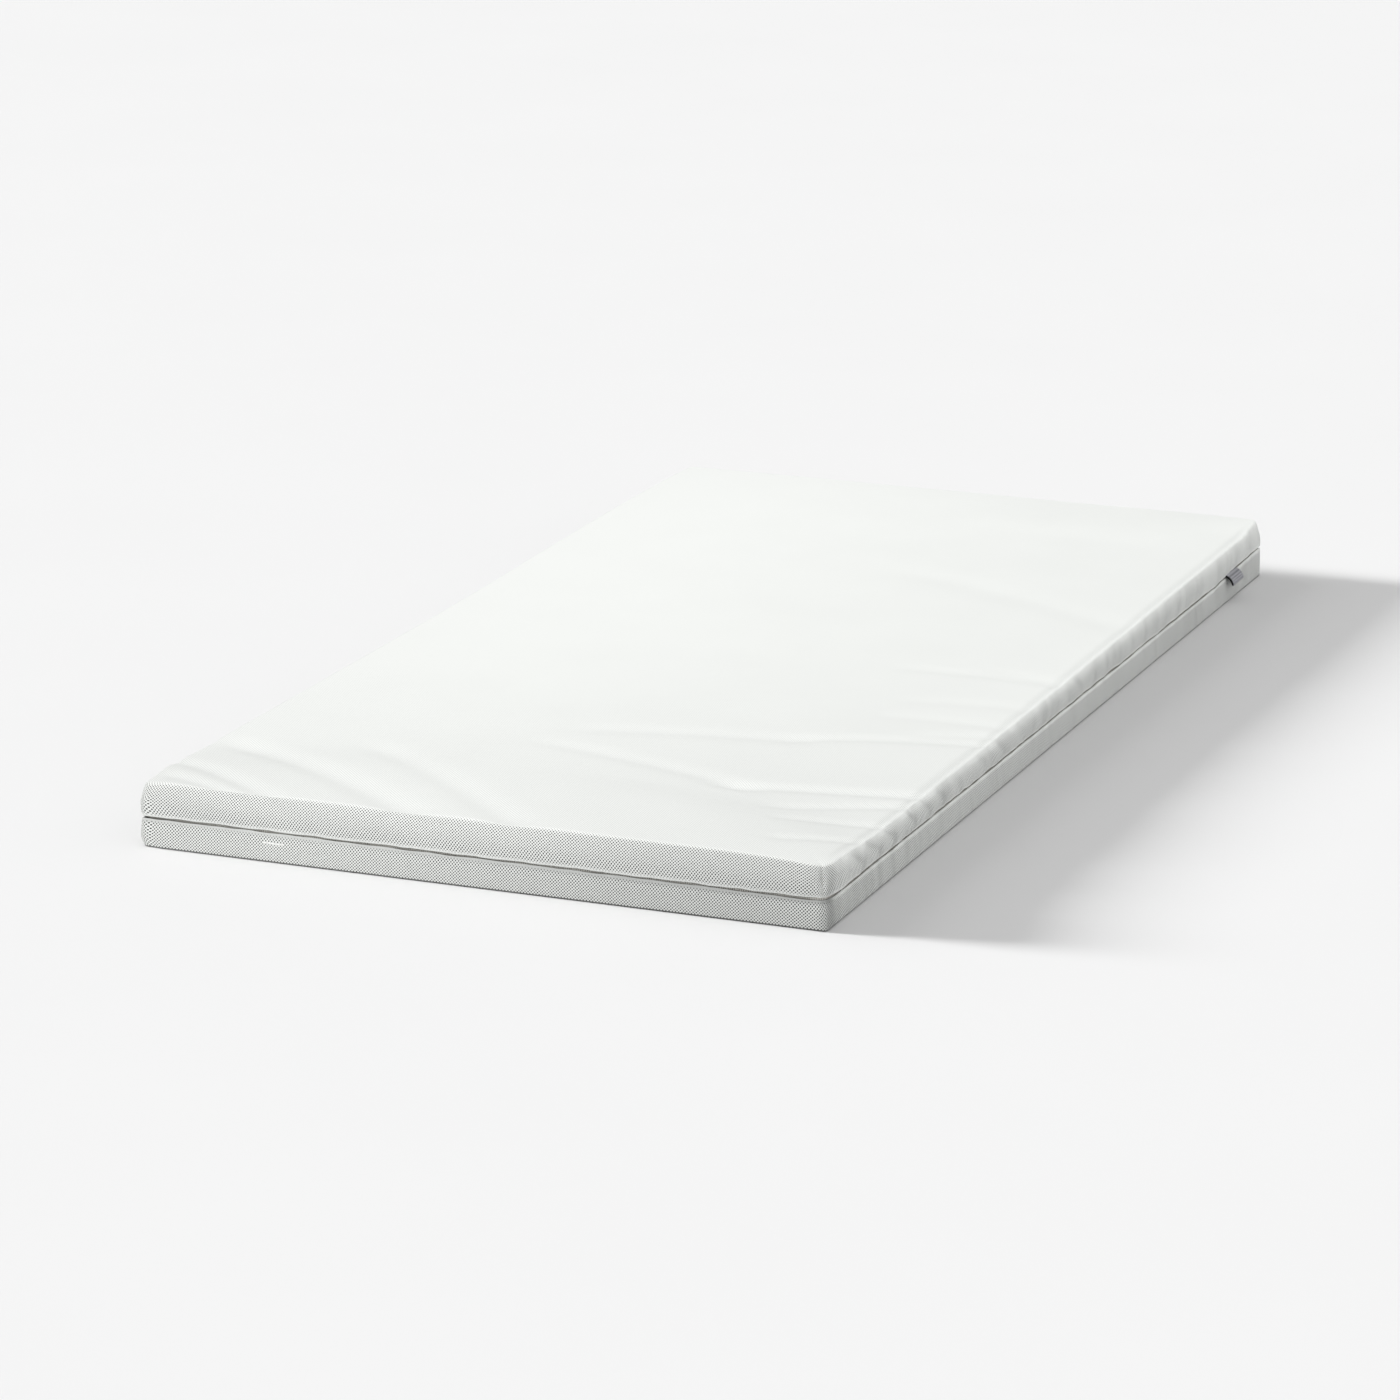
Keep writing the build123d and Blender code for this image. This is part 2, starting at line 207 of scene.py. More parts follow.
# Label, tag and tack
LABEL_Y = 0.503
LABEL_WIDTH = 0.034
LABEL_ROOT = (0.2978, 0.0262)
LABEL_BELLY = (0.3029, 0.0237)
LABEL_TIP = (0.3060, 0.0175)
LABEL_THICKNESS = 0.0020
TACK_X = -0.1787
TACK_Z = 0.016
TACK_LENGTH = 0.020
TACK_THREADS = 24
TACK_THREAD = (0.00075, 0.0005, 0.0017)
TACK_ROUNDING = 0.0002
TACK_LEAN = math.radians(10)
CARE_TAG = (0.050, 0.013)
CARE_TAG_Y = 0.400
CARE_TAG_TOP = 0.0168
CARE_TAG_INSET = 0.0044
CARE_TAG_THICKNESS = 0.0002
CARE_TAG_LEAN = 0.0002
CARE_TAG_CURL = 0.0003
CARE_TAG_WAVES = 7


# Materials

class Term:
    """An output of a material's nodes that takes part in sums like a number."""

    def __init__(self, tree, socket):
        self.tree = tree
        self.socket = socket

    def node(self, kind, inputs=(), output=0, **settings):
        made = self.tree.nodes.new(kind)
        for name, value in settings.items():
            setattr(made, name, value)
        for name, value in dict(inputs).items():
            if isinstance(value, Term):
                self.tree.links.new(value.socket, made.inputs[name])
            else:
                made.inputs[name].default_value = value
        return Term(self.tree, made.outputs[output])

    def maths(self, operation, *values):
        return self.node("ShaderNodeMath", enumerate(values), operation=operation)

    def __add__(self, other):
        return self.maths("ADD", self, other)

    def __sub__(self, other):
        return self.maths("SUBTRACT", self, other)

    def __mul__(self, other):
        return self.maths("MULTIPLY", self, other)

    def __radd__(self, other):
        return self.maths("ADD", other, self)

    def __rsub__(self, other):
        return self.maths("SUBTRACT", other, self)

    def __rmul__(self, other):
        return self.maths("MULTIPLY", other, self)

    def attribute(self, name):
        """A value kept on the piece's points."""
        return self.node("ShaderNodeAttribute", output=2, attribute_name=name)

    def place(self):
        """The place on the piece in its own coordinates."""
        return self.node("ShaderNodeTexCoord", output=3)

    def clouds(self, scale, detail=2.0):
        """Soft noise over this place."""
        return self.node("ShaderNodeTexNoise", {"Vector": self, "Scale": scale, "Detail": detail})

    def split(self):
        """The three coordinates of a place."""
        parts = self.node("ShaderNodeSeparateXYZ", {0: self}).socket.node
        return [Term(self.tree, socket) for socket in parts.outputs]

    def sine(self, pitch):
        """A wave of that pitch along this length."""
        return self.maths("SINE", self * (2 * math.pi / pitch))

    def between(self, low, high):
        """0 below low, 1 above high and smooth between them."""
        return self.node(
            "ShaderNodeMapRange",
            {"Value": self, "From Min": low, "From Max": high},
            interpolation_type="SMOOTHSTEP",
        )

    def mix(self, first, second):
        """The first colour where this is 0 and the second where it is 1."""
        return self.node(
            "ShaderNodeMix", {0: self, 6: first, 7: second}, output=2, data_type="RGBA"
        )


def colour(red, green, blue):
    """A colour given as it looks on a screen, from 0 to 255."""
    screen = (red / 255, green / 255, blue / 255)
    linear = [c / 12.92 if c < 0.04045 else ((c + 0.055) / 1.055) ** 2.4 for c in screen]
    return (*linear, 1.0)


def new_material(name, **constants):
    """A material and the start of its sums; constants go on the surface shader's own sockets."""
    material = bpy.data.materials.new(name)
    material.use_nodes = True
    shader = material.node_tree.nodes["Principled BSDF"]
    for socket, value in constants.items():
        shader.inputs[socket.replace("_", " ")].default_value = value
    start = Term(material.node_tree, None)
    return material, start, shader


def finish_material(start, shader, base, roughness=None, height=None, relief=0.0005, strength=0.5):
    """Joins the worked-out colour, roughness and relief to the surface shader."""
    links = start.tree.links
    links.new(base.socket, shader.inputs["Base Color"])
    if roughness is not None:
        links.new(roughness.socket, shader.inputs["Roughness"])
    if height is not None:
        bump = start.node("ShaderNodeBump", {"Strength": strength, "Distance": relief, "Height": height})
        links.new(bump.socket, shader.inputs["Normal"])


def mesh_cloth(name, yarn, hole_shade):
    """White knitted mesh: staggered holes on the cloth's own flat map, darkened with painted shade, pressed
    flat on the folded hems, with painted light and shade added from values on the points.
    """
    material, start, shader = new_material(name, Roughness=0.85, Sheen_Weight=0.10)
    flat = start.node("ShaderNodeUVMap", uv_map="flat")
    across, down, _ = flat.split()
    marks = ("openness", "pressed", "greyed", "shaded")
    openness, pressed, greyed, shaded = (start.attribute(mark) for mark in marks)
    lattice = across.sine(MESH_ACROSS) * down.sine(MESH_DOWN)
    hole = lattice.between(0.0, HOLE_EDGE)
    place = start.place()
    fuzz = place.clouds(900.0)
    patches = place.clouds(14.0)
    # The holes' dark colour is painted shade, at a strength kept on the points; two more values on the
    # points add painted light and shade across the cloth and beside the puckers; fuzz and patches add uneven
    # tone.
    dark = hole * openness * (1.0 - pressed) + HEM_TONE * pressed
    tone = greyed + shaded + (fuzz - 0.5) * UNEVEN_TONE + (patches - 0.5) * UNEVEN_TONE
    base = (dark + tone).mix(yarn, hole_shade)
    finish_material(start, shader, base, height=(1.0 - dark) + fuzz * FUZZ, relief=0.0006, strength=0.35)
    return material


# The cover's cloth

def eased(share):
    """A grid line's place between -1 and 1, closer together towards both ends."""
    return share + EASE * math.sin(math.pi * share) / math.pi


def smooth(share):
    """0 below 0, 1 above 1 and smooth between them."""
    share = min(max(share, 0.0), 1.0)
    return share * share * (3 - 2 * share)


def ramp(value, span):
    """0 before the span, 1 past it and smooth along it."""
    start, end = span
    return smooth((value - start) / (end - start))


def steps_to(whole, count):
    """Even steps that end at the whole."""
    return [whole * step / count for step in range(1, count + 1)]


# Where the fall of the top changes, in metres from the middle
RIGHT_FALL_START = 0.05  # to the left
NEAR_END = (0.48, 0.59)  # towards the near end
RIGHT_FALL_EASES = (-0.20, 0.65)
RIGHT_FALL_ENDS = (0.53, 0.60)
LEFT_FALL_EASES = (-0.10, 0.50)
LEFT_NEAR_LOSS = 0.7  # share of the left-hand fall that goes at the near end
FALL_POWER = 2
END_FALL_POWER = 12  # at the ends the fall keeps closer to the corners


def top_height(x, y):
    """Height of the top: level in the middle, lower at the ends and lowest along the right-hand side."""
    to_end = min(max((abs(y) - LENGTH / 2 + END_REACH) / END_REACH, 0.0), 1.0)
    power = FALL_POWER + (END_FALL_POWER - FALL_POWER) * smooth(to_end)
    right = max((x + RIGHT_FALL_START) / (WIDTH / 2 + RIGHT_FALL_START), 0.0) ** power
    left = max(-x / (WIDTH / 2), 0.0) ** power
    near_end = ramp(-y, NEAR_END)
    right_share = 1 - (1 - FAR_SHARE) * ramp(y, RIGHT_FALL_EASES) - (1 - NEAR_SHARE) * near_end
    right_share -= (FAR_SHARE - FAR_CORNER_SHARE) * ramp(y, RIGHT_FALL_ENDS)
    left_share = 1 - ramp(y, LEFT_FALL_EASES) - LEFT_NEAR_LOSS * near_end
    fall = RIGHT_FALL * right * right_share + LEFT_FALL * left * left_share
    return HEIGHT - fall - (HEIGHT - TOP_EDGE) * to_end * to_end


def band_curve():
    """Curvature of the upper band, its inset where the top's edge begins, and the height of that place."""
    lowest = TOP_EDGE - EDGE * (1 - math.cos(EDGE_TURN))
    bend = 1 / (math.tan(EDGE_TURN) * 2 * (lowest - BULGE_HEIGHT))
    return bend, bend * (lowest - BULGE_HEIGHT) ** 2 - BULGE, lowest


def plan_radius(inset):
    return max(CORNER - inset, SMALLEST_RADIUS)


def hem_rows(fold_height, way):
    """The cloth's folded edge at the zip and the turning behind it."""
    rows = []
    for turn in steps_to(math.radians(180), HEM_STEPS):
        inset = DRAW_IN + HEM_FOLD * (1 - math.cos(turn))
        rows.append((inset, fold_height - way * HEM_FOLD * math.sin(turn), plan_radius(inset)))
    inset = DRAW_IN + 2 * HEM_FOLD
    for run in steps_to(way * HEM_TURNING, TURNING_STEPS):
        rows.append((inset, fold_height + run, plan_radius(inset)))
    return rows


def upper_rows():
    """Inset, height and corner radius of each line of cloth from the top's edge down to the folded hem."""
    bend, edge_inset, lowest = band_curve()
    panel_inset = edge_inset + EDGE * math.sin(EDGE_TURN)
    rows = []
    for turn in steps_to(EDGE_TURN, EDGE_STEPS):
        inset = panel_inset - EDGE * math.sin(turn)
        rows.append((inset, TOP_EDGE - EDGE * (1 - math.cos(turn)), plan_radius(inset)))
    for rise in steps_to(UPPER_FOLD - lowest, BAND_STEPS):
        height = lowest + rise
        above = bend * max(height - BULGE_HEIGHT, 0.0) ** 2
        share = max(BULGE_HEIGHT - height, 0.0) / (BULGE_HEIGHT - UPPER_FOLD)
        inset = above - BULGE + (DRAW_IN + BULGE) * share * share
        rows.append((inset, height, plan_radius(inset)))
    return rows + hem_rows(UPPER_FOLD, 1)


def lower_rows():
    """The same for the lower half, from the underside's edge up to the folded hem."""
    rows = []
    for turn in steps_to(math.radians(90), FOOT_STEPS):
        inset = LOWER_INSET + FOOT_UNDERCUT * (1 - math.sin(turn))
        rows.append((inset, FOOT * (1 - math.cos(turn)), FOOT_CORNER))
    for share in steps_to(1.0, LOWER_BAND_STEPS):
        inset = LOWER_INSET + (DRAW_IN - LOWER_INSET) * share * share
        radius = FOOT_CORNER + (CORNER - DRAW_IN - FOOT_CORNER) * smooth(share)
        rows.append((inset, FOOT + (LOWER_FOLD - FOOT) * share, radius))
    return rows + hem_rows(LOWER_FOLD, -1)


def turned_down(along, half_along, half_across, row, edge):
    """Place along and across one side for cloth below the panel's edge, rounded into the corner seam."""
    inset, _, radius = row
    start = half_along - edge
    spread = (half_along - inset) - start
    reach = smooth((abs(along) - (start - CORNER_REACH)) / CORNER_REACH)
    place = abs(along) + spread * reach
    out = half_across - inset
    to_corner = (half_along - inset) - place
    if to_corner < radius:
        turn = math.radians(45) * (1 - to_corner / radius)
        place = half_along - inset - radius + radius * math.sin(turn)
        out = half_across - inset - radius + radius * math.cos(turn)
    return math.copysign(place, along), out, to_corner


def cloth_depths(rows, edge, level):
    """Length of cloth from the panel's edge to each line."""
    depths = [0.0]
    last = (edge, level)
    for inset, height, _ in rows:
        depths.append(depths[-1] + math.dist(last, (inset, height)))
        last = (inset, height)
    return depths


def cut_cloth(rows, edge, panel_height, level, hem, columns=ACROSS, lines=ALONG):
    """Cuts a grid like the cover's flat cloth, turns its four sides over and sews the corner seams."""
    depth = cloth_depths(rows, edge, level)
    cloth = bmesh.new()
    count = len(rows)
    bmesh.ops.create_grid(cloth, x_segments=columns + 2 * count, y_segments=lines + 2 * count, size=1.0)
    flat = cloth.loops.layers.uv.new("flat")
    on_flat_x = cloth.verts.layers.float.new("flat_x")
    on_flat_y = cloth.verts.layers.float.new("flat_y")
    down = cloth.verts.layers.float.new("down")
    seam = cloth.verts.layers.float.new("seam")
    cloth.verts.layers.float.new("shaded")
    half_x = WIDTH / 2 - edge
    half_y = LENGTH / 2 - edge
    corners = []
    for vert in cloth.verts:
        column = round((vert.co.x + 1) / 2 * (columns + 2 * count)) - count
        line = round((vert.co.y + 1) / 2 * (lines + 2 * count)) - count
        row_x = max(-column, column - columns, 0)
        row_y = max(-line, line - lines, 0)
        if row_x and row_y:
            corners.append(vert)
            continue
        x = half_x * eased(2 * min(max(column / columns, 0.0), 1.0) - 1)
        y = half_y * eased(2 * min(max(line / lines, 0.0), 1.0) - 1)
        vert[seam] = 1.0
        vert[down] = depth[max(row_x, row_y)]
        vert[on_flat_x] = x + math.copysign(depth[row_x], x)
        vert[on_flat_y] = y + math.copysign(depth[row_y], y)
        if not row_x and not row_y:
            vert.co = (x, y, panel_height(x, y))
            continue
        row = rows[max(row_x, row_y) - 1]
        height = hem + (row[1] - hem) * (panel_height(x, y) - hem) / (level - hem)
        if row_x:
            along, out, vert[seam] = turned_down(y, LENGTH / 2, WIDTH / 2, row, edge)
            vert.co = (math.copysign(out, x), along, height)
        else:
            along, out, vert[seam] = turned_down(x, WIDTH / 2, LENGTH / 2, row, edge)
            vert.co = (along, math.copysign(out, y), height)
    bmesh.ops.delete(cloth, geom=corners, context="VERTS")
    for face in cloth.faces:
        for loop in face.loops:
            loop[flat].uv = (loop.vert[on_flat_x], loop.vert[on_flat_y])
    bmesh.ops.remove_doubles(cloth, verts=cloth.verts, dist=1e-6)
    return cloth


def ridge(fold, x, y):
    """Height of one fold at points of the flat cloth: a smooth ridge that fades out at both ends."""
    start = np.array(fold.start)
    run = np.array(fold.end) - start
    length = np.hypot(*run)
    run = run / length
    along = ((x - start[0]) * run[0] + (y - start[1]) * run[1]) / length
    aside = (y - start[1]) * run[0] - (x - start[0]) * run[1]
    aside = aside - fold.bow * 4 * along * (1 - along)
    share = np.clip(along, 0, 1)
    height = fold.height_start + (fold.height_end - fold.height_start) * share
    fade = np.clip(np.minimum(along, 1 - along) / FOLD_FADE, 0, 1)
    return height * fade * fade * (3 - 2 * fade) * np.exp(-((aside / fold.width) ** 2))


def press_folds(cloth, folds, puckers, swell):
    """Moves the cloth in and out for its folds, puckers and slight unevenness, and paints light and shade
    beside the puckers.
    """
    cloth.normal_update()
    layers = cloth.verts.layers.float
    names = ("flat_x", "flat_y", "seam")
    x, y, seam = (np.array([v[layers[name]] for v in cloth.verts]) for name in names)
    lift = sum(ridge(fold, x, y) for fold in folds + puckers)
    waves = [swell(v.co, v[layers["down"]]) for v in cloth.verts]
    near_seam = np.clip(seam / SEAM_REACH, 0, 1)
    lift = (lift + np.array(waves)) * near_seam
    shade = sum(ridge(fold, x, y - PUCKER_SHIFT) - ridge(fold, x, y + PUCKER_SHIFT) for fold in puckers)
    shade = PUCKER_SHADE * shade * near_seam
    for vert, amount, dark in zip(cloth.verts, lift, shade):
        vert.co += vert.normal * amount
        vert[layers["shaded"]] = dark


# Where the hems lie differently, in metres from the middle
LIP_REACH = 0.010  # cloth this far above and below a hem moves with it
FAR_SIDE = (LENGTH / 2 - 0.012, LENGTH / 2 - 0.002)
RIGHT_SIDE = (WIDTH / 2 - 0.015, WIDTH / 2 - 0.005)
FAR_CORNER = (WIDTH / 2 - 0.032, WIDTH / 2 - 0.005)  # along the far side, past the slider's travel
PAST_NEAR_CORNER = (-LENGTH / 2, -LENGTH / 2 + 0.030)
ZIP_RISES = (0.430, 0.590)
LIP_WAVE = 0.0005
LIP_WAVES = 30  # per metre


def close_lip(cloth, fold_height, overlap):
    """Moves a folded hem over the zip away from the slider's side, and bends its line on the right."""
    for vert in cloth.verts:
        x, y, z = vert.co
        near_lip = 1 - smooth(abs(z - fold_height) / LIP_REACH)
        far_side = ramp(y, FAR_SIDE)
        by_far_corner = ramp(x, FAR_CORNER)
        closed = 1 - far_side * (1 - by_far_corner)
        on_right = ramp(x, RIGHT_SIDE)
        on_right += (by_far_corner - on_right) * far_side
        wavy = LIP_WAVE * noise.noise(Vector((x * LIP_WAVES, y * LIP_WAVES, 0.0)))
        rise = (RIGHT_SAG + RIGHT_RISE) * ramp(y, ZIP_RISES) - RIGHT_SAG
        lift = (wavy + rise) * on_right * ramp(y, PAST_NEAR_CORNER)
        vert.co.z += (overlap * closed + lift) * near_lip


def spread_at(x, y):
    """How far a place moves to the right as the far end widens."""
    return FAR_SPREAD * (x / WIDTH + 0.5) * (y / LENGTH + 0.5)


def spread(shape):
    """Widens the far end a little to the right."""
    for vert in shape.verts:
        vert.co.x += spread_at(vert.co.x, vert.co.y)


# Near right corner: its rounding comes in as two shares over two spans of height
ROUND_AT_ZIP = 0.43
ROUND_ABOVE = 0.50
AT_ZIP = (0.012, 0.022)
ABOVE_ZIP = (0.030, 0.040)


def round_near_right(cloth):
    """Rounds the near right corner in plan, a little at the zip and fully above it."""
    for vert in cloth.verts:
        x = vert.co.x - WIDTH / 2 + ROUND_CORNER
        y = -vert.co.y - LENGTH / 2 + ROUND_CORNER
        if x <= 0 or y <= 0:
            continue
        share = ROUND_AT_ZIP * ramp(vert.co.z, AT_ZIP) + ROUND_ABOVE * ramp(vert.co.z, ABOVE_ZIP)
        pull = share * (1 - max(x, y) / math.hypot(x, y))
        vert.co.x -= x * pull
        vert.co.y += y * pull


# Far right and near left corners, in metres from the middle or in height
FAR_RIGHT = 1
NEAR_LEFT = -1
SQUARE_ALONG = (0.470, 0.570)
SQUARE_CORNER = 0.008  # fully squared from here to the corner
SQUARE_WALL = (-0.012, -0.006)  # from the outermost line
TOP_ROUNDING = (0.040, 0.046)
ROUND_OFF_ACROSS = (0.270, 0.300)
ROUND_OFF_ALONG = (0.540, 0.600)
ROUND_OFF_UP = (0.030, 0.060)
FOOT_ACROSS = (0.280, 0.298)
FOOT_ALONG = (0.560, 0.595)
FOOT_UP = 0.010
FOOT_DRAW = (0.0030, 0.0010)  # how far the near left foot is drawn in, across and along


def square_up(cloth, hem, way, share, reach):
    """Takes a share of the bulge and the draw-in out of one corner."""
    down = cloth.verts.layers.float["down"]
    for vert in cloth.verts:
        turned = min(max((vert[down] - hem) / HEM_FOLD, 0.0), math.pi)
        behind = HEM_FOLD * (1 - math.cos(turned))  # the turning stays behind the folded edge
        x = way * vert.co.x
        y = way * vert.co.y
        across = (WIDTH / 2 - reach, WIDTH / 2 - SQUARE_CORNER)
        by_corner = ramp(x, across) * ramp(y, SQUARE_ALONG) * share
        outwards = 1 - ramp(vert.co.z, TOP_ROUNDING)  # the top's edge keeps its rounding
        for axis, half, at in ((0, WIDTH / 2, x), (1, LENGTH / 2, y)):
            missing = half - at - behind
            by_wall = ramp(at - half, SQUARE_WALL) * by_corner
            vert.co[axis] += way * missing * by_wall * (outwards if missing > 0 else 1)


def square_corners(cloth, hem):
    square_up(cloth, hem, FAR_RIGHT, share=0.9, reach=0.032)
    square_up(cloth, hem, NEAR_LEFT, share=0.4, reach=0.060)


def round_off(cloth, way, inwards, drop):
    """Rounds the top off at one corner."""
    for vert in cloth.verts:
        by_corner = ramp(way * vert.co.x, ROUND_OFF_ACROSS) * ramp(way * vert.co.y, ROUND_OFF_ALONG)
        raised = ramp(vert.co.z, ROUND_OFF_UP) * by_corner
        vert.co.x -= way * inwards * raised
        vert.co.z -= drop * raised


def round_foot(cloth):
    """Draws the foot in at the near left corner."""
    for vert in cloth.verts:
        by_corner = ramp(-vert.co.x, FOOT_ACROSS) * ramp(-vert.co.y, FOOT_ALONG)
        lowered = (1 - smooth(vert.co.z / FOOT_UP)) * by_corner
        vert.co.x += FOOT_DRAW[0] * lowered
        vert.co.y += FOOT_DRAW[1] * lowered


# Slight unevenness of the cloth, with its waves per metre along and up the cover
TOP_SWELL = 0.0006
UPPER_SWELL = 0.0009
LOWER_SWELL = 0.0007
UPPER_SWELL_FROM = 0.010  # length of cloth below the top's edge
LOWER_SWELL_FROM = 0.005
ABOVE_FOOT = (0.001, 0.005)
TOP_WAVES = 9
UPPER_WAVES = (70, 12)
LOWER_WAVES = (60, 15)


def upper_swell(place, down):
    """Broad on the top and fine on the band."""
    along, up = UPPER_WAVES
    band = smooth(down / UPPER_SWELL_FROM)
    broad = noise.noise(Vector((place.x * TOP_WAVES, place.y * TOP_WAVES, 3.1))) * TOP_SWELL
    fine = noise.noise(Vector((place.x * along, place.y * along, place.z * up))) * UPPER_SWELL
    return broad * (1 - band) + fine * band


def lower_swell(place, down):
    """Fine on the lower band, with none at its foot."""
    along, up = LOWER_WAVES
    band = smooth(down / LOWER_SWELL_FROM) * ramp(place.z, ABOVE_FOOT)
    return noise.noise(Vector((place.x * along + 7.0, place.y * along, place.z * up))) * LOWER_SWELL * band


def hang_up(name, mesh, material):
    """Puts a finished mesh in the scene."""
    piece = bpy.data.objects.new(name, mesh)
    bpy.context.collection.objects.link(piece)
    mesh.materials.append(material)
    return piece


def thicken(piece, thickness, offset=-1.0):
    made = piece.modifiers.new("thickness", "SOLIDIFY")
    made.thickness = thickness
    made.offset = offset
    return made


def soften(shape):
    for face in shape.faces:
        face.smooth = True


def finish_cloth(cloth, name, material, **marks):
    """The sewn cloth as an object with thickness; each mark is a value that the material reads."""
    mesh = bpy.data.meshes.new(name)
    spread(cloth)
    cloth.normal_update()
    down = cloth.verts.layers.float["down"]
    values = {mark: [value(v.co, v[down]) for v in cloth.verts] for mark, value in marks.items()}
    soften(cloth)
    cloth.to_mesh(mesh)
    for mark, amounts in values.items():
        mesh.attributes.new(mark, "FLOAT", "POINT").data.foreach_set("value", amounts)
    piece = hang_up(name, mesh, material)
    thicken(piece, CLOTH)
    return piece


# Parts of the cover, in metres from the middle
NEAR_SIDE = (-LENGTH / 2 + 0.003, -LENGTH / 2 + 0.033)
RIGHT_BAND = (0.290, 0.298)
NEAR_HALF = (0.0, 0.60)  # towards the near end
FAR_PART = (0.150, 0.550)
NEAR_LEFT_ALONG = (0.420, 0.570)  # towards the near end
NEAR_LEFT_ACROSS = (0.020, 0.270)  # towards the left
NEAR_RIGHT_ALONG = (-0.600, -0.350)
FAR_RIGHT_ALONG = (0.200, 0.450)
RIM_ENDS = (0.540, 0.590)
UP_THE_BAND = (0.026, 0.056)  # in height

# How dark the holes of the mesh look: painted shade in them, made stronger or weaker across the cover as
# painted light and shade
HOLE_SHADE_TOP = 0.14
HOLE_SHADE_TOP_NEAR = 0.16  # added towards the near end
HOLE_SHADE_UPPER = 0.90
HOLE_SHADE_UPPER_NEAR = 0.36  # added on the near side at the zip
HOLE_SHADE_UPPER_EDGE = 0.34  # and taken off again up at the top's edge
HOLE_SHADE_UPPER_FAR = 0.30  # taken off towards the far end
HOLE_SHADE_UPPER_REACH = 0.022  # cloth over which the top's holes turn into the band's
HOLE_SHADE_NEAR_REACH = 0.005  # the same on the near side
HOLE_SHADE_PANEL = 0.30
HOLE_SHADE_LOWER = 1.15
HOLE_SHADE_LOWER_NEAR = 0.12
HOLE_SHADE_LOWER_REACH = 0.002

# Painted shade on the cloth, which falls away from the light towards the right, with more painted shade in
# the rim's dip, at the near left, on the near side's lower hem and along the foot, and fine streaks of
# painted light and shade
SHADE_UPPER = 0.08  # on the near side
SHADE_UPPER_RIGHT = 0.19
UPPER_TO_RIGHT = (-0.10, 0.35)
SHADE_TOP_RIGHT = 0.07
TOP_TO_RIGHT = (-0.25, 0.30)
SHADE_NEAR_LEFT = 0.06
SHADE_RIM = 0.08
SHADE_UPPER_REACH = 0.005
SHADE_LOWER = 0.13  # on the near side
SHADE_LOWER_RIGHT = 0.23
LOWER_TO_RIGHT = (-0.20, 0.30)
SHADE_NEAR_RIGHT = 0.12
SHADE_FAR_RIGHT = 0.06
SHADE_LIP = 0.26
SHADE_FOOT = 0.75
FOOT_LINE = (0.0006, 0.0018)  # in height
SHADE_LOWER_REACH = 0.0008
STREAK = 0.14
STREAKS_ALONG = 95  # per metre
STREAKS_UP = 14

PRESSED = (-0.0012, -0.0002)  # length of cloth from the folded edge


def on_near_side(place):
    """1 on the near short side, fading out a little way round its corners."""
    return 1 - ramp(place.y, NEAR_SIDE)


# Strength of the painted shade in the holes: weak on the top and more towards its near end, stronger on the
# band, more on the near side though less there up at the top's edge, and less towards the far end.
def upper_openness(place, down):
    near_side = on_near_side(place)
    on_top = HOLE_SHADE_TOP + HOLE_SHADE_TOP_NEAR * ramp(-place.y, NEAR_HALF)
    on_band = HOLE_SHADE_UPPER + (HOLE_SHADE_UPPER_NEAR - HOLE_SHADE_UPPER_EDGE * ramp(place.z, UP_THE_BAND)) * near_side
    on_band -= HOLE_SHADE_UPPER_FAR * ramp(place.y, FAR_PART)
    reach = HOLE_SHADE_UPPER_REACH + (HOLE_SHADE_NEAR_REACH - HOLE_SHADE_UPPER_REACH) * near_side
    return on_top + (on_band - on_top) * smooth(down / reach)


# The same for the lower half: weak on the underside, stronger on the band and more on the near side.
def lower_openness(place, down):
    on_band = HOLE_SHADE_LOWER + HOLE_SHADE_LOWER_NEAR * on_near_side(place)
    return HOLE_SHADE_PANEL + (on_band - HOLE_SHADE_PANEL) * smooth(down / HOLE_SHADE_LOWER_REACH)


def streaks(place):
    """Fine upright streaks of painted light and shade on the right-hand bands."""
    streak = noise.noise(Vector((0.0, place.y * STREAKS_ALONG, place.z * STREAKS_UP)))
    return STREAK * ramp(place.x, RIGHT_BAND) * streak


# Painted shade on the upper half: the near side's band darker towards the right, with streaks of painted
# light and shade; the top darker towards the right, at the near left and in the rim's dip.
def upper_greyed(place, down):
    on_band = on_near_side(place) * (SHADE_UPPER + SHADE_UPPER_RIGHT * ramp(place.x, UPPER_TO_RIGHT))
    on_band += streaks(place)
    near_left = ramp(-place.y, NEAR_LEFT_ALONG) * ramp(-place.x, NEAR_LEFT_ACROSS)
    from_rim = place.x - RIM - spread_at(RIM, place.y)
    rim = math.exp(-((from_rim / RIM_WIDTH) ** 2)) * (1 - ramp(abs(place.y), RIM_ENDS))
    on_top = SHADE_TOP_RIGHT * ramp(place.x, TOP_TO_RIGHT) + SHADE_NEAR_LEFT * near_left + SHADE_RIM * rim
    return on_top + (on_band - on_top) * smooth(down / SHADE_UPPER_REACH)


# Painted shade on the lower half: the near side's band darker towards the right and on its hem, the
# right-hand band darker towards both ends, streaks of painted light and shade, and a painted contact shadow
# along the foot.
def lower_greyed(place, down):
    on_right = SHADE_NEAR_RIGHT * (1 - ramp(place.y, NEAR_RIGHT_ALONG))
    on_right += SHADE_FAR_RIGHT * ramp(place.y, FAR_RIGHT_ALONG)
    on_near = SHADE_LOWER + SHADE_LOWER_RIGHT * ramp(place.x, LOWER_TO_RIGHT)
    on_near += SHADE_LIP * lower_pressed(place, down)
    on_foot = SHADE_FOOT * (1 - ramp(place.z, FOOT_LINE))
    tone = on_near_side(place) * on_near + ramp(place.x, RIGHT_BAND) * on_right + streaks(place) + on_foot
    return tone * smooth(down / SHADE_LOWER_REACH)


def upper_pressed(place, down):
    return ramp(down - upper_hem, PRESSED)


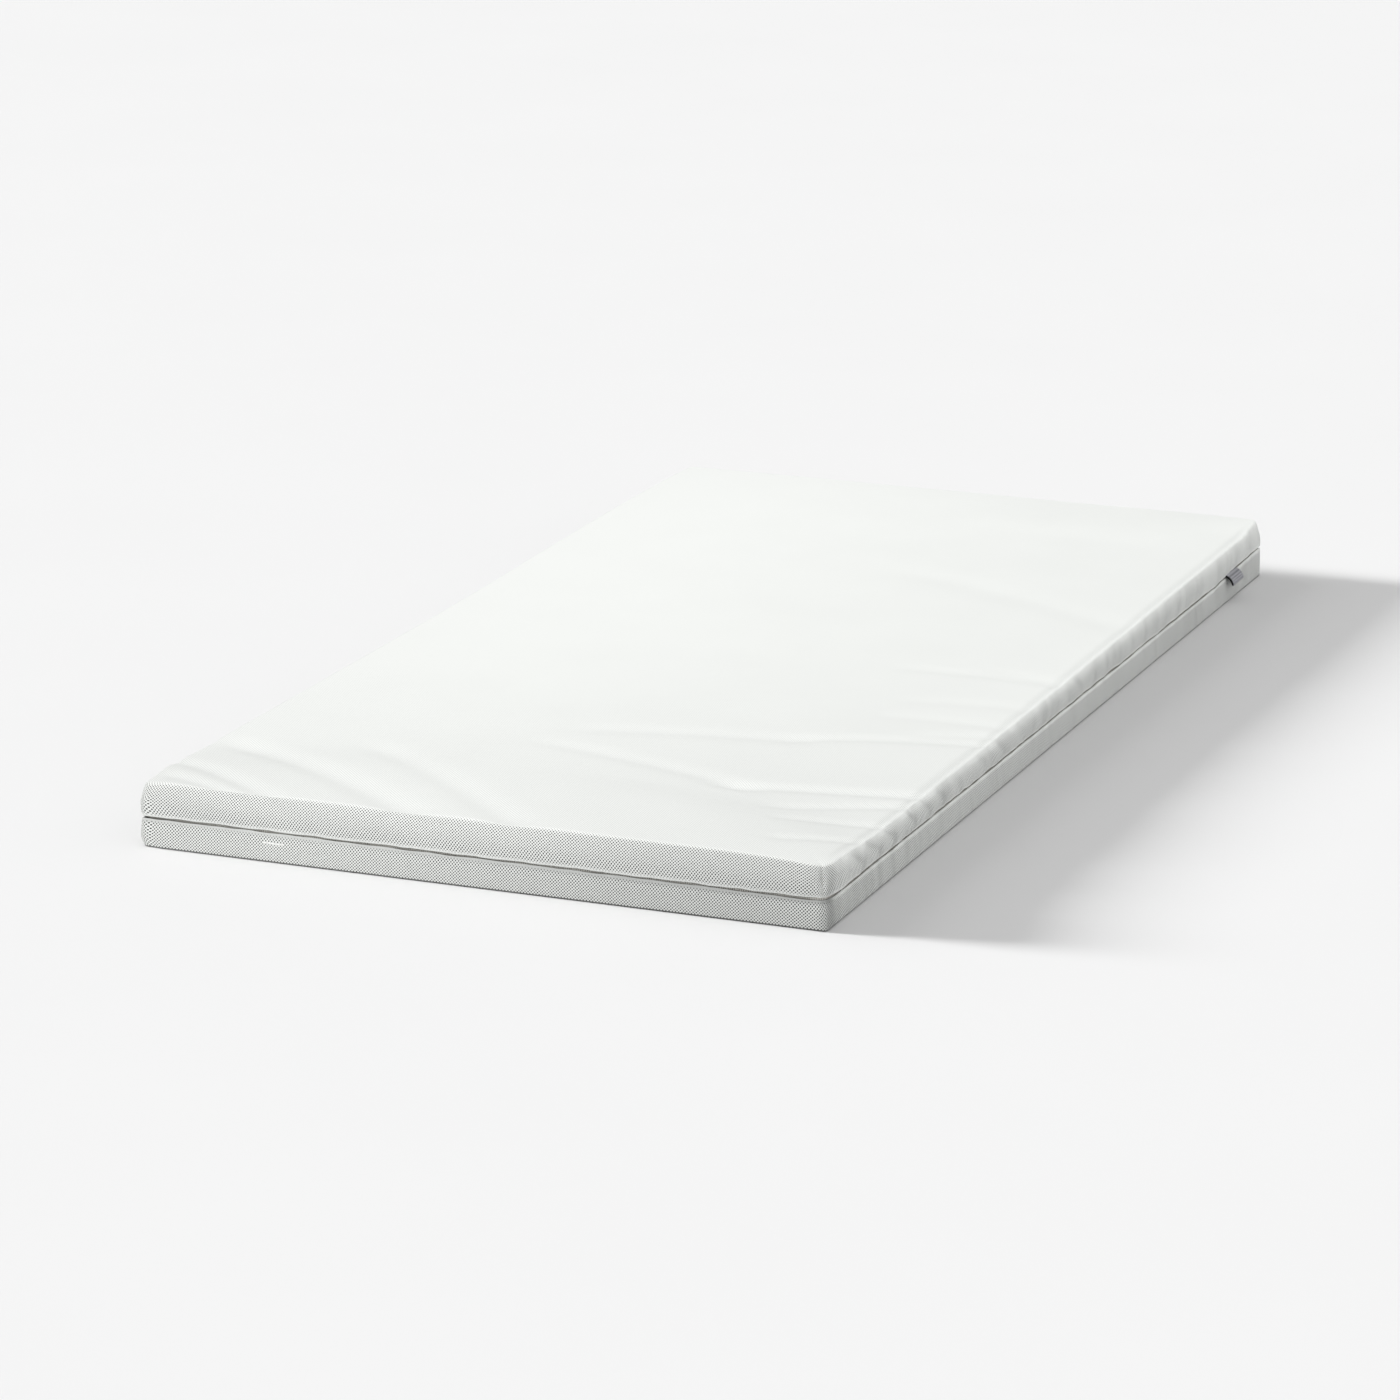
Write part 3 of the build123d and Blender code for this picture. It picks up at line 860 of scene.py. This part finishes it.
def lower_pressed(place, down):
    return ramp(down - lower_hem, PRESSED)


mesh_fabric = mesh_cloth("mesh_fabric", colour(245, 247, 244), colour(62, 64, 63))

HEM_ROWS = len(hem_rows(UPPER_FOLD, 1))
upper_edge = upper_rows()[0][0] + EDGE * math.sin(EDGE_TURN / EDGE_STEPS)
upper_hem = cloth_depths(upper_rows(), upper_edge, TOP_EDGE)[-1 - HEM_ROWS]
upper_cloth = cut_cloth(upper_rows(), upper_edge, top_height, TOP_EDGE, UPPER_FOLD)
bmesh.ops.recalc_face_normals(upper_cloth, faces=upper_cloth.faces)
round_near_right(upper_cloth)
press_folds(upper_cloth, TOP_FOLDS, PUCKERS, upper_swell)
square_corners(upper_cloth, upper_hem)
round_off(upper_cloth, FAR_RIGHT, inwards=0.0030, drop=0.0)
round_off(upper_cloth, NEAR_LEFT, inwards=0.0035, drop=0.0010)
close_lip(upper_cloth, ZIP_HEIGHT + LIP_GAP / 2, -UPPER_OVERLAP)
upper_cover = finish_cloth(
    upper_cloth, "upper_cover_cloth", mesh_fabric, openness=upper_openness, pressed=upper_pressed,
    greyed=upper_greyed,
)
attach(upper_cover, "upper_cover")
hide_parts("cover_top")

lower_edge = LOWER_INSET + FOOT_UNDERCUT
lower_hem = cloth_depths(lower_rows(), lower_edge, 0.0)[-1 - HEM_ROWS]
lower_cloth = cut_cloth(lower_rows(), lower_edge, lambda x, y: 0.0, 0.0, LOWER_FOLD)
bmesh.ops.reverse_faces(lower_cloth, faces=lower_cloth.faces)
round_near_right(lower_cloth)
press_folds(lower_cloth, (), (), lower_swell)
square_corners(lower_cloth, lower_hem)
round_foot(lower_cloth)
close_lip(lower_cloth, ZIP_HEIGHT - LIP_GAP / 2, LOWER_OVERLAP)
lower_cover = finish_cloth(
    lower_cloth, "lower_cover_cloth", mesh_fabric, openness=lower_openness, pressed=lower_pressed,
    greyed=lower_greyed,
)
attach(lower_cover, "lower_cover")
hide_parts("cover_bottom")


# Zip, label, tags and foam

RIB = (-0.9, 0.9)  # the part of a wave that a rib takes up


def woven(name, dark, pale, pitch, roughness=0.8):
    """A woven band: fine slanting ribs on the piece's own place."""
    material, start, shader = new_material(name, Roughness=roughness)
    place = start.place()
    x, y, z = place.split()
    weave = ((x + y + z).sine(pitch) * (x + y - z).sine(pitch)).between(*RIB)
    wear = place.clouds(160.0, 3.0)
    finish_material(start, shader, (weave * 0.7 + wear * 0.3).mix(dark, pale), height=weave, relief=0.0002)
    return material


def ribbed(name, dark, pale, pitch):
    """A woven label with ribs along its width."""
    material, start, shader = new_material(name, Roughness=0.6)
    place = start.place()
    _, _, z = place.split()
    rib = z.sine(pitch).between(*RIB)
    wear = place.clouds(160.0, 3.0)
    finish_material(start, shader, (rib * 0.6 + wear * 0.4).mix(dark, pale), height=rib, relief=0.0002)
    return material


def foam(name, dark, pale, cell):
    """Cut open-cell foam: small pores and slightly uneven colour."""
    material, start, shader = new_material(name, Roughness=0.95)
    place = start.place()
    pores = place.node("ShaderNodeTexVoronoi", {"Vector": place, "Scale": 1 / cell})
    blotch = place.clouds(30.0, 3.0)
    skin = pores.between(0.05, 0.55)
    finish_material(start, shader, (skin * 0.6 + blotch * 0.4).mix(dark, pale), height=skin, relief=0.0006)
    return material


def grained(name, dark, pale, scale, low, high, **constants):
    """A hard or threadlike surface: uneven colour and polish."""
    material, start, shader = new_material(name, **constants)
    place = start.place()
    grain = place.clouds(scale, 4.0)
    polish = low + (high - low) * grain
    finish_material(start, shader, grain.mix(dark, pale), roughness=polish, height=grain, relief=0.00005)
    return material


tape_weave = woven("tape_weave", colour(150, 148, 142), colour(204, 202, 196), 0.0011)
label_face = ribbed("label_face", colour(108, 108, 114), colour(184, 184, 190), 0.0020)
# Near-black for the label's own edge and for its back, where it stands as painted shade in the hollow under
# the curl.
label_edge_and_shade = woven("label_edge_and_shade", colour(8, 8, 9), colour(24, 24, 27), 0.0008)
care_satin = woven("care_satin", colour(214, 214, 212), colour(244, 244, 242), 0.0006, roughness=0.5)
soft_foam = foam("soft_foam", colour(214, 204, 172), colour(246, 240, 220), 0.0011)
firm_foam = foam("firm_foam", colour(198, 202, 204), colour(240, 242, 243), 0.0016)
nylon = grained("nylon", colour(168, 166, 160), colour(206, 204, 198), 400.0, 0.35, 0.55)
thread = grained("thread", colour(226, 227, 225), colour(252, 252, 250), 1500.0, 0.6, 0.8)
metal = grained("metal", colour(150, 151, 153), colour(206, 206, 208), 260.0, 0.25, 0.45, Metallic=1.0)
glue = grained("glue", colour(206, 196, 158), colour(236, 230, 204), 90.0, 0.3, 0.5)


def add_piece(name, shape, material, body, node):
    """Makes a finished form into a piece for a CAD node, which rides on a body if one is given."""
    mesh = bpy.data.meshes.new(name)
    spread(shape)
    shape.to_mesh(mesh)
    shape.free()
    piece = hang_up(name, mesh, material)
    if body is not None:
        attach(piece, body)
    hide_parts(node)
    return piece


def round_the_plan(inset, pitch, phase=0.0):
    """Places at an even pitch round the mattress: x along the side, y inwards and z up."""
    radius = ZIP_CORNER - inset
    corner_x = WIDTH / 2 - ZIP_CORNER
    corner_y = LENGTH / 2 - ZIP_CORNER
    quarter = radius * math.pi / 2
    total = 4 * (corner_x + corner_y) + 4 * quarter
    count = round(total / pitch)
    for step in range(count):
        left = total * (step + phase) / count
        for side in range(4):
            run, deep = (corner_y, corner_x) if side % 2 else (corner_x, corner_y)
            turn = Matrix.Rotation(math.radians(90 * side), 4, "Z")
            if left <= 2 * run:
                yield turn @ Matrix.Translation((left - run, -deep - radius, 0))
                break
            left -= 2 * run
            if left <= quarter:
                bend = Matrix.Rotation(left / radius, 4, "Z")
                corner = turn @ Matrix.Translation((run, -deep, 0))
                yield corner @ bend @ Matrix.Translation((0, -radius, 0))
                break
            left -= quarter


def bead(size, rounding):
    """One small rounded bar."""
    bar = bmesh.new()
    bmesh.ops.create_cube(bar, size=1.0)
    bmesh.ops.scale(bar, vec=size, verts=bar.verts)
    bmesh.ops.bevel(
        bar, geom=bar.edges, offset=rounding, segments=1, profile=0.5, affect="EDGES", material=-1
    )
    mesh = bpy.data.meshes.new("bead")
    bar.to_mesh(mesh)
    bar.free()
    return mesh


def strung(single, places):
    """The same small mesh at every place, as one form."""
    row = bmesh.new()
    for place in places:
        copy = single.copy()
        copy.transform(place)
        row.from_mesh(copy)
        bpy.data.meshes.remove(copy)
    soften(row)
    bpy.data.meshes.remove(single)
    return row


def tape_path():
    """Points in order round the tapes' path: even steps along each side and round each corner."""
    radius = ZIP_CORNER - TAPE_INSET
    corner_x = WIDTH / 2 - ZIP_CORNER
    corner_y = LENGTH / 2 - ZIP_CORNER
    for side in range(4):
        run, deep = (corner_y, corner_x) if side % 2 else (corner_x, corner_y)
        turn = Matrix.Rotation(math.radians(90 * side), 4, "Z")
        for along in steps_to(2 * run, TAPE_STEPS):
            yield turn @ Vector((along - run, -deep - radius, 0))
        for bend in steps_to(math.radians(90), TAPE_CORNER_STEPS):
            yield turn @ Vector((run + radius * math.sin(bend), -deep - radius * math.cos(bend), 0))


def tape_ring(foot, top):
    """A flat band that stands on edge round the mattress."""
    ring = bmesh.new()
    path = list(tape_path())
    low = [ring.verts.new((at.x, at.y, foot)) for at in path]
    high = [ring.verts.new((at.x, at.y, top)) for at in path]
    for step in range(len(path)):
        ring.faces.new((low[step - 1], low[step], high[step], high[step - 1]))
    return ring


def outside_gap(place):
    at = place.translation
    return not (at.y > LENGTH / 2 - 2 * ZIP_CORNER and COIL_GAP[0] < at.x < COIL_GAP[1])


for half, way in (("upper", 1), ("lower", -1)):
    body = f"{half}_cover"
    level = ZIP_HEIGHT + way * TAPE_SETBACK
    edge = level + way * TAPE_WIDTH
    tape = add_piece(
        f"{half}_tape", tape_ring(min(level, edge), max(level, edge)), tape_weave, body,
        f"zip_tape_{half}",
    )
    thicken(tape, TAPE)
    rise = Matrix.Translation((0, 0, ZIP_HEIGHT + way * TOOTH_LEVEL))
    places = round_the_plan(TOOTH_INSET, TOOTH_PITCH, phase=0.5 * (way > 0))
    teeth = strung(bead(TOOTH, TOOTH_ROUNDING), (rise @ place for place in places if outside_gap(place)))
    add_piece(f"{half}_teeth", teeth, nylon, body, f"zip_coil_{half}")
    rise = Matrix.Translation((0, 0, ZIP_HEIGHT + way * STITCH_LEVEL))
    places = round_the_plan(STITCH_INSET, STITCH_PITCH)
    stitches = strung(bead(STITCH, STITCH_ROUNDING), (rise @ place for place in places))
    add_piece(f"{half}_stitches", stitches, thread, body, f"hem_stitches_{half}")


def memory_foam_rows():
    """Inset, height and corner radius of the soft slab's lines, from its top's edge down."""
    top = TOP_EDGE - FOAM_TOP_GAP
    side = top - FOAM_EDGE
    rows = []
    for turn in steps_to(math.radians(90), FOAM_EDGE_STEPS):
        inset = FOAM_INSET + FOAM_EDGE * (1 - math.sin(turn))
        rows.append((inset, top - FOAM_EDGE * (1 - math.cos(turn)), FOAM_CORNER))
    for drop in steps_to(side - FOAM_JOIN, FOAM_STEPS):
        rows.append((FOAM_INSET, side - drop, FOAM_CORNER))
    return rows


def support_foam_rows():
    """The same for the firm slab, from its flat top down to its rounded foot."""
    side = FIRM_TOP - FIRM_NICK
    rows = []
    for turn in steps_to(math.radians(90), FOAM_STEPS):
        inset = FOAM_INSET + FIRM_NICK * (1 - math.sin(turn))
        rows.append((inset, FIRM_TOP - FIRM_NICK * (1 - math.cos(turn)), FOAM_CORNER))
    for drop in steps_to(side - FIRM_FOOT - FIRM_EDGE, FOAM_STEPS):
        rows.append((FOAM_INSET, side - drop, FOAM_CORNER))
    for turn in steps_to(math.radians(90), FOAM_STEPS):
        inset = FOAM_INSET + FIRM_EDGE * (1 - math.cos(turn))
        rows.append((inset, FIRM_FOOT + FIRM_EDGE * (1 - math.sin(turn)), FOAM_CORNER))
    return rows


def slab(rows, edge, panel_height, level, foot, unevenness):
    """A closed block of foam with slightly uneven cut faces."""
    block = cut_cloth(rows, edge, panel_height, level, foot, columns=FOAM_ACROSS, lines=FOAM_ALONG)
    open_edges = [e for e in block.edges if e.is_boundary]
    bmesh.ops.holes_fill(block, edges=open_edges, sides=0)
    bmesh.ops.recalc_face_normals(block, faces=block.faces)
    for vert in block.verts:
        wave = noise.noise(vert.co * FOAM_WAVES)
        vert.co -= vert.normal * unevenness * (0.5 + 0.5 * wave)
    for face in block.faces:
        face.smooth = len(face.verts) == 4
    return block


memory_block = slab(
    memory_foam_rows(), FOAM_INSET + FOAM_EDGE, lambda x, y: top_height(x, y) - FOAM_TOP_GAP,
    TOP_EDGE - FOAM_TOP_GAP, FOAM_JOIN, SOFT_UNEVENNESS,
)
memory_pad = add_piece(
    "memory_foam_pad", memory_block, soft_foam, "foam_core", "memory_foam_layer"
)
support_block = slab(
    support_foam_rows(), FOAM_INSET + FIRM_NICK, lambda x, y: FIRM_TOP,
    FIRM_TOP, FIRM_FOOT, FIRM_UNEVENNESS,
)
support_pad = add_piece(
    "support_foam_pad", support_block, firm_foam, "foam_core", "support_foam_layer"
)


def arc_through(first, middle, last, share):
    """A point on the arc through three points, from the first at 0 to the last at 1."""
    a, b, c = (complex(*point) for point in (first, middle, last))
    slope = (c - a) / (b - a)
    centre = a + (b - a) * (slope - abs(slope) ** 2) / (slope - slope.conjugate())
    start = a - centre
    sweep = cmath.phase((c - centre) / start)
    at = centre + start * cmath.exp(1j * sweep * share)
    return at.real, at.imag


def curled_label():
    """The folded label: a woven strip that comes out over the lower hem and curls down."""
    strip = bmesh.new()
    bmesh.ops.create_grid(strip, x_segments=16, y_segments=14, size=0.5)
    for vert in strip.verts:
        across = vert.co.x
        x, z = arc_through(LABEL_ROOT, LABEL_BELLY, LABEL_TIP, 0.5 - vert.co.y)
        vert.co = (x, LABEL_Y + across * LABEL_WIDTH, z)
    bmesh.ops.recalc_face_normals(strip, faces=strip.faces)
    soften(strip)
    return strip


def on_label(x, z):
    """A place on the label's line once the far end is widened."""
    return x + spread_at(x, LABEL_Y), LABEL_Y, z


label = add_piece("label_strip", curled_label(), label_face, None, "side_label")
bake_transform(label, "lower_cover", "side_label", start=on_label(*LABEL_ROOT), end=on_label(*LABEL_TIP))
# The label's back and rims take the near-black: its edge, and painted shade in the hollow under the curl.
label.data.materials.append(label_edge_and_shade)
layers = thicken(label, LABEL_THICKNESS, offset=0.0)
layers.material_offset = 1
layers.material_offset_rim = 1


def satin_tack(surface):
    """Places of the tack's threads side by side on the near band, leaning one way and the other."""
    for step in range(TACK_THREADS):
        x = TACK_X + TACK_LENGTH * ((step + 0.5) / TACK_THREADS - 0.5)
        at = surface.ray_cast(Vector((x, -LENGTH, TACK_Z)), Vector((0, 1, 0)))[0]
        lean = Matrix.Rotation(TACK_LEAN if step % 2 else -TACK_LEAN, 4, "Y")
        yield Matrix.Translation(at) @ lean


lower_surface = BVHTree.FromBMesh(lower_cloth)
tack = strung(bead(TACK_THREAD, TACK_ROUNDING), satin_tack(lower_surface))
add_piece("tack_threads", tack, thread, "lower_cover", "bar_tack")


def hanging_tag():
    """The blank tag inside the cover, hanging a little curled from the lower tape."""
    tag = bmesh.new()
    bmesh.ops.create_grid(tag, x_segments=20, y_segments=8, size=0.5)
    for vert in tag.verts:
        fall = 0.5 - vert.co.y
        curl = CARE_TAG_CURL * fall * math.sin(vert.co.x * CARE_TAG_WAVES)
        vert.co = (
            WIDTH / 2 - CARE_TAG_INSET - CARE_TAG_LEAN * fall + curl,
            CARE_TAG_Y + vert.co.x * CARE_TAG[0],
            CARE_TAG_TOP - fall * CARE_TAG[1],
        )
    soften(tag)
    return tag


care_tag = add_piece("care_tag", hanging_tag(), care_satin, "lower_cover", "care_label")
thicken(care_tag, CARE_TAG_THICKNESS, offset=0.0)


def cloth_size(rows, edge):
    """Width, length and area of the cover half's cloth, cut with a square out of each corner."""
    places = [row[:2] for row in rows]
    turned = sum(math.dist(a, b) for a, b in zip(places, places[1:]))
    panel = (WIDTH - 2 * edge, LENGTH - 2 * edge)
    area = panel[0] * panel[1] + 2 * turned * (panel[0] + panel[1])
    return (panel[0] + 2 * turned, panel[1] + 2 * turned), area


for cover, rows, edge, rests_on in (
    (upper_cover, upper_rows(), upper_edge, "memory_foam_pad"),
    (lower_cover, lower_rows(), lower_edge, "support_foam_pad"),
):
    size, area = cloth_size(rows, edge)

# The hard pieces and the glue keep their CAD form
for node, material, slot in (
    ("zip_slider", metal, "zip_metal"),
    ("slider_bridge", metal, "zip_metal"),
    ("zip_pull", metal, "zip_metal"),
    ("zip_end_stop", metal, "zip_metal"),
    ("zip_box", nylon, "zip_coil"),
    ("zip_pin", nylon, "zip_coil"),
    ("adhesive_film", glue, "adhesive"),
):
    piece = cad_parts[node]
    piece.data.materials.clear()
    piece.data.materials.append(material)


# Floor, light and camera

def paint_floor():
    material, start, shader = new_material("floor", Roughness=0.9, Specular_IOR_Level=0.1)
    place = start.place()
    grain = place.clouds(3.0)
    finish_material(start, shader, grain.mix(colour(231, 231, 231), colour(233, 233, 233)))
    return material


floor_mesh = bpy.data.meshes.new("floor")
floor_shape = bmesh.new()
bmesh.ops.create_grid(floor_shape, x_segments=2, y_segments=2, size=30.0)
floor_shape.to_mesh(floor_mesh)
floor_shape.free()
floor = hang_up("floor", floor_mesh, paint_floor())


# Lamps: the way the light travels over the floor, and the lamp's height and breadth in degrees
Lamp = namedtuple("Lamp", "name strength heading height breadth lights_floor")
LAMPS = (
    Lamp("floor_key", 5.80, (0.99, 0.13), 14.2, 11.5, True),
    Lamp("floor_fill", 0.62, (0.99, -0.02), 32.0, 34.0, True),
    Lamp("cloth_key", 2.02, (0.31, 0.95), 52.0, 11.0, False),
)


def add_sun(lamp):
    """A soft sun for the floor alone or for all but the floor."""
    light = bpy.data.lights.new(lamp.name, "SUN")
    light.energy = lamp.strength
    light.angle = math.radians(lamp.breadth)
    sun = bpy.data.objects.new(lamp.name, light)
    sun.rotation_mode = "QUATERNION"
    travel = Vector((*lamp.heading, -math.tan(math.radians(lamp.height))))
    sun.rotation_quaternion = travel.to_track_quat("-Z", "Y")
    bpy.context.collection.objects.link(sun)
    lit = bpy.data.collections.new(f"lit_by_{lamp.name}")
    lit.objects.link(floor)
    lit.collection_objects[0].light_linking.link_state = "INCLUDE" if lamp.lights_floor else "EXCLUDE"
    sun.light_linking.receiver_collection = lit


for lamp in LAMPS:
    add_sun(lamp)

SKY = 0.44
GLOW = 0.46  # added where the sky is brightest, on the right
GLOW_FROM = (0.83, -0.12, 0.545)
world = bpy.data.worlds.new("studio")
world.use_nodes = True
background = world.node_tree.nodes["Background"]
background.inputs["Color"].default_value = (1.0, 1.0, 1.0, 1.0)
look = Term(world.node_tree, None).node("ShaderNodeTexCoord")
facing = look.node("ShaderNodeVectorMath", {0: look, 1: GLOW_FROM}, output=1, operation="DOT_PRODUCT")
facing = facing.maths("MAXIMUM", facing, 0.0)
world.node_tree.links.new((SKY + GLOW * facing * facing).socket, background.inputs["Strength"])
bpy.context.scene.world = world

CAMERA_PLACE = (1.65769, -4.23558, 1.28803)
CAMERA_DOWN = math.radians(15.83)
CAMERA_TURN = math.radians(21.93)
camera_data = bpy.data.cameras.new("camera")
camera_data.lens = 135.0
camera_data.sensor_width = 36.0
camera_data.clip_end = 100.0
camera = bpy.data.objects.new("camera", camera_data)
camera.location = CAMERA_PLACE
camera.rotation_euler = (math.radians(90) - CAMERA_DOWN, 0.0, CAMERA_TURN)
bpy.context.collection.objects.link(camera)
bpy.context.scene.camera = camera
bpy.context.scene.view_settings.view_transform = "Standard"
